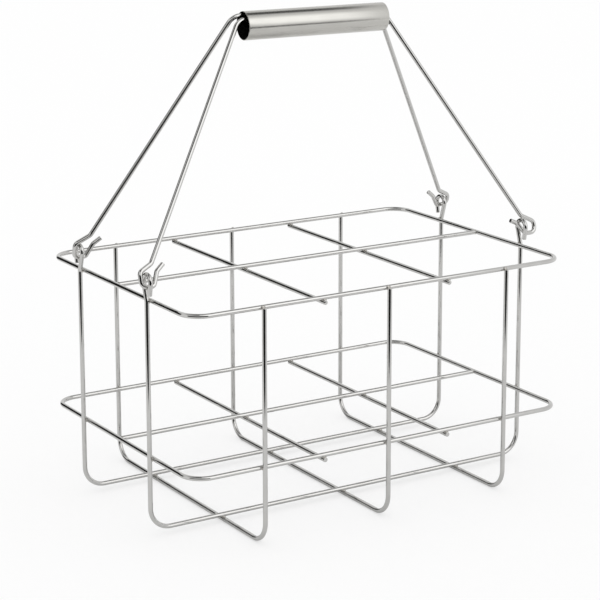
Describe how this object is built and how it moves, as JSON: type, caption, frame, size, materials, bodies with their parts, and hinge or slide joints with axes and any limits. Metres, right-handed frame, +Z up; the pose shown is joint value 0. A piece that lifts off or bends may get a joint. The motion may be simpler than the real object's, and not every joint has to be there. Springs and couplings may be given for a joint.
{
  "type": "bottle caddy",
  "caption": "Welded wire bottle carrier with open bays between two rings, bent wire feet and a swaying double-wire handle that runs through a loose grip tube.",
  "frame": {"origin": "on the table under the middle of the basket rings", "axes": "+X along the basket to the right, -Y is the front, +Z up towards the grip"},
  "size_m": [0.3251, 0.2144, 0.3401],
  "materials": {
    "polished_wire": "polished stainless steel wire",
    "brushed_grip": "satin brushed stainless steel tube"
  },
  "bodies": {
    "basket": {"top_ring": "polished_wire", "lower_ring": "polished_wire", "front_long_wire": "polished_wire", "back_long_wire": "polished_wire", "left_cross_wire": "polished_wire", "middle_cross_wire": "polished_wire", "right_cross_wire": "polished_wire", "top_long_divider": "polished_wire", "lower_long_divider": "polished_wire", "top_left_divider": "polished_wire", "top_right_divider": "polished_wire", "lower_left_divider": "polished_wire", "lower_right_divider": "polished_wire"},
    "back_handle": {"back_bail": "polished_wire"},
    "front_handle": {"front_bail": "polished_wire"},
    "grip": {"grip_tube": "brushed_grip"}
  },
  "joints": [
    {"name": "back_handle_sway", "type": "hinge", "parent": "basket", "child": "back_handle", "pos_m": [0, 0.04833, 0.18], "axis": [1, 0, 0], "range_deg": [-3, 0]},
    {"name": "front_handle_sway", "type": "hinge", "parent": "basket", "child": "front_handle", "pos_m": [0, -0.04833, 0.18], "axis": [1, 0, 0], "range_deg": [-3, 0]},
    {"name": "grip_turn", "type": "hinge", "parent": "back_handle", "child": "grip", "pos_m": [0.0061, -0.00092, 0.33008], "axis": [0.9986, -0.0523, 0], "continuous": true}
  ],
  "couplings": [
    {"joint": "front_handle_sway", "follows": "back_handle_sway", "ratio": 1}
  ]
}
